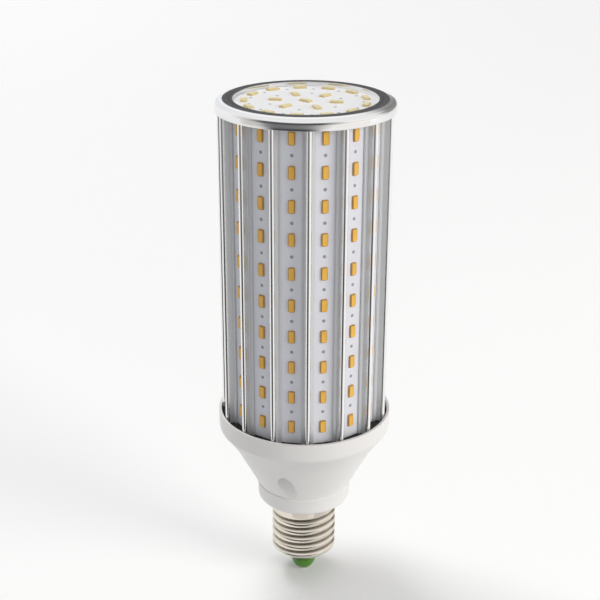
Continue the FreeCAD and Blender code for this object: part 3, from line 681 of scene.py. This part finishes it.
def level_direction(angle):
    """Give level directions at angles from +X: (cos a, sin a, 0)."""
    angle = np.atleast_1d(angle)
    return np.stack([np.cos(angle), np.sin(angle), np.zeros(len(angle))], axis=-1)


def on_board(angle, radius):
    """Give points on the round board's face at angles from +X."""
    return radius * level_direction(angle) + UP * board_high.z


board_places = np.vstack([on_board(0, 0), on_board(inner_angle, INNER_CIRCLE),
                          on_board(outer_angle, outer_circle)])
board_along = np.vstack([level_direction(CENTRE_TURN), level_direction(inner_angle),
                         level_direction(outer_angle + pi / 2)])
board_up = np.tile(UP, (len(board_places), 1))
top_lights = led_piece("top_lights", board_places, board_along, board_up, "top_gel_painted_light")
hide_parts("top_leds")

# %% [markdown]
# Between the LEDs each board shows small tinned dots where its copper layers meet. They are thin discs that
# stand a few hundredths of a millimetre proud of the solder mask, each a fan of a few faces.

# %% Tinned dots
DOT_RADIUS = 0.66 * MM
DOT_HEIGHT = 0.04 * MM
DOT_AROUND = 12
# Each row of a dot's grid: share of its radius and share of its height.
DOT_ROWS = np.array([(1, 0), (0.85, 1), (0, 1)])
OUTER_DOT_INSET = 1.6 * MM
INNER_DOT_STEP = 2.4 * MM


def dot_piece(name, places, rows_up):
    """Lay low discs: a circle at the foot, a smaller one raised, and its centre.

    The first direction across a disc is X where up is Z, on the round board, and Z on the strips.
    """
    turn = np.linspace(0, 2 * pi, DOT_AROUND, endpoint=False)
    circle = np.stack([np.cos(turn), np.sin(turn)], axis=-1)
    first = np.where(np.abs(rows_up[:, 2:]) > 0.5, np.array([1.0, 0, 0]), UP)
    second = np.cross(rows_up, first)
    flat = DOT_ROWS[None, :, None, :1] * DOT_RADIUS * circle[None, None, :, :]
    points = (places[:, None, None, :] + flat[..., 0:1] * first[:, None, None, :]
              + flat[..., 1:2] * second[:, None, None, :]
              + (DOT_ROWS[None, :, None, 1:] * DOT_HEIGHT) * rows_up[:, None, None, :])
    one = grid_faces(len(DOT_ROWS), DOT_AROUND, False, True)
    faces = repeated_faces(one, len(places), len(DOT_ROWS) * DOT_AROUND)
    piece = mesh_piece(name, points, faces, smooth_angle=50)
    piece.data.materials.append(finishes["pad_solder"])
    return piece


dot_levels = (led_levels[:-1] + led_levels[1:]) / 2
strip_turn = SECTOR * np.arange(STRIP_COUNT)
strip_out = np.stack([np.sin(strip_turn), -np.cos(strip_turn), np.zeros(STRIP_COUNT)], axis=-1)
dot_places = (strip_out[:, None, :] * -strip_low.y + dot_levels[None, :, None] * UP).reshape(-1, 3)
strip_dots = dot_piece("strip_dots", dot_places, np.repeat(strip_out, len(dot_levels), axis=0))
between_outer = on_board(outer_angle + pi / OUTER_COUNT, outer_circle - OUTER_DOT_INSET)
between_inner = on_board(inner_angle + pi / INNER_COUNT, INNER_CIRCLE + INNER_DOT_STEP)
round_dot_places = np.vstack([between_outer, between_inner])
round_dots = dot_piece("round_dots", round_dot_places, np.tile(UP, (len(round_dot_places), 1)))

# %% [markdown]
# The housing is a moulding with screw pockets, so it isn't a simple turned shape. Its solid is right
# already. We copy its mesh, weld the loose triangles and smooth the gentle edges, and the curves shade well.

# %% Smoothed housing
MERGE_DISTANCE = 1e-6
funnel_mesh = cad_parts["base_housing"].data.copy()
funnel_mesh.name = "funnel"
funnel_shape = bmesh.new()
funnel_shape.from_mesh(funnel_mesh)
bmesh.ops.remove_doubles(funnel_shape, verts=funnel_shape.verts, dist=MERGE_DISTANCE)
funnel_shape.to_mesh(funnel_mesh)
funnel_shape.free()
funnel_mesh.materials.clear()
funnel_mesh.materials.append(finishes["housing_plastic"])
funnel = place_mesh("funnel", funnel_mesh, smooth_angle=22)
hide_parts("base_housing")

# %% [markdown]
# Where the funnel meets its collar the mould leaves a fine raised line. It is a turned ring with rounded
# edges, half sunk in the wall, that catches the light from above and shades the wall below.

# %% Lip of the collar
COLLAR_RADIUS = 18.5 * MM
COLLAR_TOP = 42.9 * MM
LIP_PROUD = 0.30 * MM
LIP_HEIGHT = 0.9 * MM
LIP_RADIUS = 0.2 * MM
lip_in, lip_out = COLLAR_RADIUS - LIP_PROUD, COLLAR_RADIUS + LIP_PROUD
lip_foot = COLLAR_TOP - LIP_HEIGHT
lip_corners = [(lip_in, lip_foot), (lip_out, lip_foot), (lip_out, COLLAR_TOP), (lip_in, COLLAR_TOP)]
lip_outline = rounded(lip_corners, np.full(len(lip_corners), LIP_RADIUS))
collar_lip = turned_piece("collar_lip", lip_outline)
collar_lip.data.materials.append(finishes["housing_plastic"])

# %% [markdown]
# The extrusion's foot stands in the rim, and the gap round it lies in shade. A black ring is painted shade
# there: it shows as a dark line between the white rim and the strips. It is a plain level ring that
# fins and strips rise through.

# %% Painted shade round the foot
SHADE_RING_BELOW_RIM = 2.0 * MM
SHADE_RING_BEHIND_FLOOR = 0.2 * MM
SHADE_RING_ABOVE_FOOT = 0.05 * MM
RIM_WALL = 0.95 * MM
rim_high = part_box("base_housing")[1]
shade_ring_outer = rim_high.x - RIM_WALL
shade_ring_inner = floor_level - SHADE_RING_BEHIND_FLOOR
shade_ring_foot = sink_low.z + SHADE_RING_ABOVE_FOOT
shade_ring_top = rim_high.z - SHADE_RING_BELOW_RIM
# Painted shade: a black ring fills the shaded gap round the extrusion's foot.
foot_shade_ring = turned_piece("foot_shade_ring", np.array([(shade_ring_inner, shade_ring_foot), (shade_ring_outer, shade_ring_foot),
                                      (shade_ring_outer, shade_ring_top), (shade_ring_inner, shade_ring_top)]))
foot_shade_ring.data.materials.append(finishes["black_rubber_and_painted_shade"])

# %% [markdown]
# The cap is thin brass sheet, rolled into a thread and then nickel plated. A thread is a helix: at each level
# the radius goes in and out once per pitch, and the phase moves round with the angle. A plain band stays at
# the top, where the groove runs out at one side, and the sheet slopes in at the foot.

# %% Rolled thread
cap_low, cap_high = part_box("cap_shell")
THREAD_PITCH = 3.629 * MM
THREAD_DEPTH = 1.0 * MM
BAND_HEIGHT = 3.4 * MM
TAPER_HEIGHT = 6.7 * MM
TAPER_ROUND = 1.2 * MM
RUN_OUT = 0.25
CAP_WALL = 0.35 * MM
INSIDE_LIFT = 0.2 * CAP_WALL
FOOT_RADIUS = 5.2 * MM
THREAD_START = 0.30
GROOVE_SHARPNESS = 1.7
CONE_STEPS = 8
crest = cap_high.x
taper_top = cap_low.z + TAPER_HEIGHT


def threaded_cap(around=192, levels=150):
    """Radius = crest - depth * fade * (half a wave of the place between two crests) ** sharpness.

    The place counts pitches up the cap less turns round it, so each whole number is one groove. A groove's
    own level decides its fade, so the thread runs out along the helix, at one side of the cap.
    """
    angle = np.linspace(0, 2 * pi, around, endpoint=False)[:, None]
    turns = angle / (2 * pi) + THREAD_START
    z = np.linspace(taper_top, cap_high.z, levels)[None, :]
    place = (z - taper_top) / THREAD_PITCH - turns
    groove_level = taper_top + (np.floor(place) + 0.5 + turns) * THREAD_PITCH
    from_top = (cap_high.z - BAND_HEIGHT - groove_level) / (RUN_OUT * THREAD_PITCH)
    from_foot = (groove_level - taper_top) / (RUN_OUT * THREAD_PITCH)
    fade = np.clip(from_top, 0, 1) * np.clip(from_foot, 0, 1)
    wave = (0.5 - 0.5 * np.cos(2 * pi * place)) ** GROOVE_SHARPNESS
    r = crest - THREAD_DEPTH * fade * wave
    cone = rounded([(FOOT_RADIUS, cap_low.z), (crest, taper_top), (crest, cap_high.z), (0, cap_high.z)],
                   [0, TAPER_ROUND, 0, 0], CONE_STEPS)[CONE_STEPS - 1:2 * CONE_STEPS - 1]
    on_cone = np.broadcast_to(np.vstack([[FOOT_RADIUS, cap_low.z], cone]), (around, CONE_STEPS + 1, 2))
    above = np.maximum(z, cone[-1, 1])
    outside_r = np.hstack([on_cone[..., 0], r])
    outside_z = np.hstack([on_cone[..., 1], np.broadcast_to(above, (around, levels))])
    inside_r = np.maximum(outside_r[:, ::-1] - CAP_WALL, FOOT_RADIUS - CAP_WALL)
    inside_z = np.minimum(outside_z[:, ::-1] + INSIDE_LIFT, cap_high.z)
    r_all = np.hstack([outside_r, inside_r])
    z_all = np.hstack([outside_z, inside_z])
    return np.stack([r_all * np.cos(angle), r_all * np.sin(angle), z_all], axis=-1)


cap_points = threaded_cap()
cap_faces = grid_faces(*cap_points.shape[:2], True, True)
threaded_shell = mesh_piece("threaded_shell", cap_points, cap_faces, smooth_angle=50)
threaded_shell.data.materials.append(finishes["nickel_plate"])
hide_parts("cap_shell")

# %% [markdown]
# The insulator under the shell is a small moulded bowl. Its side is a quarter of an ellipse, from the foot's
# edge out to the shell, so it looks soft where the plain cone of the solid is straight.

# %% Insulating bowl
bowl_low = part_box("cap_insulator")[0]
BOWL_FOOT = 3.2 * MM
BOWL_TOP = 5.1 * MM
LEAD_HOLE = 1.0 * MM
BOWL_FULLNESS = 0.8
BOWL_STEPS = 14
bowl_rise = np.linspace(0, 1, BOWL_STEPS)
bowl_spread = np.sin(bowl_rise * pi / 2) ** BOWL_FULLNESS
bowl_side = np.column_stack([BOWL_FOOT + (BOWL_TOP - BOWL_FOOT) * bowl_spread,
                             bowl_low.z + (cap_low.z - bowl_low.z) * bowl_rise])
bowl_inside = np.array([(LEAD_HOLE, cap_low.z), (LEAD_HOLE, bowl_low.z)])
green_bowl = turned_piece("green_bowl", np.vstack([bowl_side, bowl_inside]), segments=96)
green_bowl.data.materials.append(finishes["green_insulation"])
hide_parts("cap_insulator")

# %% [markdown]
# The camera stands where the photograph was taken: a little to the right of the strip that faces -Y, above
# the lamp, looking down. The shift puts the lamp where it is in the frame.

# %% Camera
FRAME_PIXELS = 600
FOCAL_PIXELS = 1221.7
CENTRE_X = 304.8
CENTRE_Y = 299.7
CAMERA_DISTANCE = 434.4 * MM
CAMERA_HEIGHT = 296.4 * MM
CAMERA_TILT = radians(22.04)
CAMERA_AZIMUTH = radians(9.72)
CAMERA_ROLL = radians(0.28)
SENSOR_WIDTH_MM = 36
NEAREST_SEEN = 10 * MM

camera = bpy.data.objects.new("camera", bpy.data.cameras.new("camera"))
bpy.context.collection.objects.link(camera)
camera.data.sensor_width = SENSOR_WIDTH_MM
camera.data.lens = FOCAL_PIXELS / FRAME_PIXELS * SENSOR_WIDTH_MM
camera.data.shift_x = (FRAME_PIXELS / 2 - CENTRE_X) / FRAME_PIXELS
camera.data.shift_y = (CENTRE_Y - FRAME_PIXELS / 2) / FRAME_PIXELS
camera.data.clip_start = NEAREST_SEEN
stand = Matrix.Translation((CAMERA_DISTANCE * sin(CAMERA_AZIMUTH), -CAMERA_DISTANCE * cos(CAMERA_AZIMUTH),
                            CAMERA_HEIGHT))
aim = (Matrix.Rotation(CAMERA_AZIMUTH, 4, "Z") @ Matrix.Rotation(pi / 2 - CAMERA_TILT, 4, "X")
       @ Matrix.Rotation(CAMERA_ROLL, 4, "Z"))
camera.matrix_world = stand @ aim
bpy.context.scene.camera = camera
bpy.context.scene.view_settings.view_transform = "Standard"
print("lens, mm:", round(camera.data.lens, 1))

# %% [markdown]
# The table is a plain white sheet that takes the lamp's shadow. It ends just in front of the lamp, below the
# picture's edge, because upright metal would mirror nothing else if it went on. Past that edge the metal
# mirrors the panels of the room. A little of the sheet's white is its own light for the rays that see it,
# straight, through glass or in metal, so it stays white to its far end without more light on the lamp.


# %% Table
SHEET_WHITE = (0.90, 0.905, 0.90, 1)
SHEET_FRONT = 52 * MM
SHEET_SPAN = 8.0
# The sheet's own light near the lamp and far away, and the distances between which it grows, in metres.
SHEET_GLOW = 0.06
FAR_GLOW = 0.55
FAR_FROM = 0.25
FAR_TO = 6.0


def rays_that_see(tree, labels):
    """Add up kinds of ray from Light Path: 1 for any of them, 0 for the rest."""
    ray = add_node(tree, "ShaderNodeLightPath")
    total = ray.outputs[labels[0]]
    for label in labels[1:]:
        total = calculate(tree, "ADD", total, ray.outputs[label], use_clamp=True)
    return total


def make_table():
    """Lay a flat sheet at the level of the contact's tip, its front edge square to the camera's direction."""
    toward = np.array([sin(CAMERA_AZIMUTH), -cos(CAMERA_AZIMUTH), 0])
    right = np.array([cos(CAMERA_AZIMUTH), sin(CAMERA_AZIMUTH), 0])
    side = SHEET_SPAN * np.array([-1, 1, 1, -1])[:, None]
    reach = np.array([SHEET_FRONT, SHEET_FRONT, -SHEET_SPAN, -SHEET_SPAN])[:, None]
    mesh = bpy.data.meshes.new("table")
    mesh.from_pydata(right * side + toward * reach, [], [(0, 1, 2, 3)])
    table = bpy.data.objects.new("table", mesh)
    bpy.context.collection.objects.link(table)
    material, tree, shader = start_material("table_white", Roughness=0.7, Base_Color=SHEET_WHITE,
                                            Emission_Color=(1, 1, 1, 1))
    seeing = rays_that_see(tree, ("Is Camera Ray", "Is Glossy Ray", "Is Transmission Ray"))
    strength = spread(tree, past_radius(tree, FAR_FROM, FAR_TO), SHEET_GLOW, FAR_GLOW)
    feed(tree, shader.inputs["Emission Strength"], calculate(tree, "MULTIPLY", seeing, strength))
    mesh.materials.append(material)
    print("sheet ends", round(SHEET_FRONT / MM), "mm in front of the lamp's axis")


make_table()

# %% [markdown]
# A polished metal shows its surroundings, so its look is set by what stands round it. The camera looks down,
# so upright metal mirrors what lies below the horizon, past the sheet's front edge. The world is painted
# there in rows of panels, one above the other. The lowest is pale, for the cap. The next is for the fins:
# white at both sides with a black gap just left of the middle, which draws a dark line beside each bright
# one. The third has softer greys, for the ring's wall. Above them come the room, a dark wall behind the lamp
# for the ring's flat top, and a white ceiling. Matt surfaces get an even grey light instead, and the camera
# sees a white backdrop. Light Path picks one of these by the kind of ray.

# %% Panels round the table
# Each panel: degrees from the camera's direction, to its right, and its colour. BACK closes each row behind.
BACK = (0.90, 0.92, 0.95)
FLOOR_ROW = [
    (-100, 1.00, 1.00, 1.00), (-84, 0.90, 0.89, 0.87), (-40, 0.86, 0.84, 0.81), (0, 0.88, 0.86, 0.83),
    (40, 0.95, 0.93, 0.90), (90, 0.95, 0.93, 0.90),
]
FIN_ROW = [
    (-108, 1.00, 1.00, 1.00), (-84, 0.98, 0.98, 0.97), (-58, 0.88, 0.87, 0.85), (-50, 0.45, 0.44, 0.43),
    (-41, 0.05, 0.05, 0.05), (2, 0.04, 0.04, 0.04), (12, 0.22, 0.22, 0.22), (22, 0.85, 0.84, 0.82),
    (30, 1.00, 0.99, 0.97), (110, 1.00, 0.98, 0.95), (126, 0.40, 0.39, 0.37), (150, 0.30, 0.30, 0.29),
]
RING_ROW = [
    (-108, 1.00, 1.00, 1.00), (-76, 0.64, 0.62, 0.58), (-60, 0.62, 0.61, 0.60), (-49, 0.26, 0.26, 0.27),
    (-38, 0.18, 0.18, 0.19), (-8, 0.21, 0.21, 0.22), (4, 0.28, 0.28, 0.28), (14, 0.46, 0.46, 0.45),
    (24, 0.72, 0.71, 0.68), (34, 1.00, 0.97, 0.93), (108, 1.00, 0.97, 0.93), (126, 0.36, 0.35, 0.33),
    (150, 0.30, 0.30, 0.29),
]
ROOM_ROW = [
    (-108, 1.00, 1.00, 1.00), (-76, 0.64, 0.62, 0.58), (-56, 0.12, 0.12, 0.12), (-40, 0.09, 0.09, 0.09),
    (20, 0.09, 0.09, 0.09), (40, 0.60, 0.58, 0.55), (56, 1.00, 0.97, 0.93), (108, 1.00, 0.97, 0.93),
    (126, 0.36, 0.35, 0.33), (168, 0.26, 0.26, 0.26),
]
# Height angles, in degrees, between which each row takes over from the one below it.
ROWS_UPWARDS = [(-32, -30, FIN_ROW), (-18.5, -16.5, RING_ROW), (-9, -4, ROOM_ROW)]
FILL = (0.44, 0.44, 0.445)
BACKDROP = (0.98, 0.98, 0.98)
CEILING = (1, 1, 1)
DARK_WALL = (0.10, 0.10, 0.10)
WALL_HEIGHT = radians(13)
SHADE = (0.03, 0.03, 0.03)
# More degrees: where the shade below ends, the dark wall's soft edge round its middle, where the ceiling starts.
SHADE_ENDS = (-75, -55)
WALL_EDGE = (11, 6.5)
CEILING_STARTS = (26, 42)


def panel_ramp(tree, value, panels):
    """Blend the panels' colours along a value that runs from 0 to 1 round the circle, starting behind."""
    ramp = add_node(tree, "ShaderNodeValToRGB", Fac=value)
    stops = ramp.color_ramp.elements
    stops[0].position, stops[1].position = 0, 1
    for angle, *colour in panels:
        stops.new((angle + 180) / 360).color = (*colour, 1)
    stops[0].color = stops[len(stops) - 1].color = (*BACK, 1)
    return ramp.outputs["Color"]


def make_world():
    """Pick a panel by azimuth = atan2(x, -y), seen from the camera, and row, ceiling or shade by height."""
    world = bpy.data.worlds.new("studio")
    bpy.context.scene.world = world
    world.use_nodes = True
    tree = world.node_tree
    direction = add_node(tree, "ShaderNodeTexCoord").outputs["Generated"]
    facing = add_node(tree, "ShaderNodeMapping", Vector=direction,
                      Rotation=(0, 0, -CAMERA_AZIMUTH)).outputs["Vector"]
    parts = add_node(tree, "ShaderNodeSeparateXYZ", Vector=facing).outputs
    azimuth = calculate(tree, "ARCTAN2", parts["X"], calculate(tree, "MULTIPLY", parts["Y"], -1))
    share = add_node(tree, "ShaderNodeMapRange", Value=azimuth, From_Min=-pi, From_Max=pi).outputs["Result"]
    behind = add_node(tree, "ShaderNodeVectorMath", operation="DOT_PRODUCT", Vector=facing)
    behind.inputs[1].default_value = (0, cos(WALL_HEIGHT), sin(WALL_HEIGHT))

    def above(angles):
        """Rise from 0 to 1 between two height angles."""
        return rise(tree, parts["Z"], *np.sin(np.radians(angles)))

    look = panel_ramp(tree, share, FLOOR_ROW)
    for low, high, row in ROWS_UPWARDS:
        look = blend(tree, above((low, high)), look, panel_ramp(tree, share, row))
    look = blend(tree, above(SHADE_ENDS), SHADE, look)
    near_wall = rise(tree, behind.outputs["Value"], *np.cos(np.radians(WALL_EDGE)))
    look = blend(tree, near_wall, look, DARK_WALL)
    look = blend(tree, above(CEILING_STARTS), look, CEILING)
    look = blend(tree, rays_that_see(tree, ("Is Glossy Ray",)), FILL, look)
    look = blend(tree, rays_that_see(tree, ("Is Camera Ray", "Is Transmission Ray")), look, BACKDROP)
    feed(tree, tree.nodes["Background"].inputs["Color"], look)
    print("world with", len(tree.nodes), "nodes")


make_world()

# %% [markdown]
# Four lamps shape the matt surfaces. A warm key from the right brightens the strips that face it. A large
# one, high up and behind on the left, whitens the table and throws the soft shadow towards the lower right.
# A weak one from the left lifts the shaded side, and a broad one beside the camera fills the front. Metal
# doesn't mirror them, because it has the panels.


# %% Lamps
BULB_MIDDLE = Vector((0, 0, 0.1))


def soft_box(name, azimuth, height, distance, width, power, colour=(1, 1, 1)):
    """Hang a square lamp at an angle from the camera, a height angle and a distance, to face the bulb."""
    turn = CAMERA_AZIMUTH + radians(azimuth)
    tilt = radians(height)
    out = Vector((sin(turn) * cos(tilt), -cos(turn) * cos(tilt), sin(tilt)))
    light = bpy.data.lights.new(name, "AREA")
    light.size = width
    light.energy = power
    light.color = colour
    lamp = bpy.data.objects.new(name, light)
    bpy.context.collection.objects.link(lamp)
    lamp.location = BULB_MIDDLE + out * distance
    lamp.rotation_euler = (-out).to_track_quat("-Z", "Y").to_euler()
    lamp.visible_glossy = False


# Each lamp: degrees to the camera's right, height in degrees, distance and width in metres, power in watts.
soft_box("key_box", 60, 18, 2.0, 0.95, 21.0, (1.0, 0.97, 0.93))
soft_box("overhead_box", -138, 64, 4.0, 1.5, 72.0)
soft_box("left_box", -75, 15, 1.0, 0.3, 0.2)
soft_box("front_box", 8, 10, 2.6, 1.6, 8.0)
print(len(bpy.data.lights), "lamps hung")
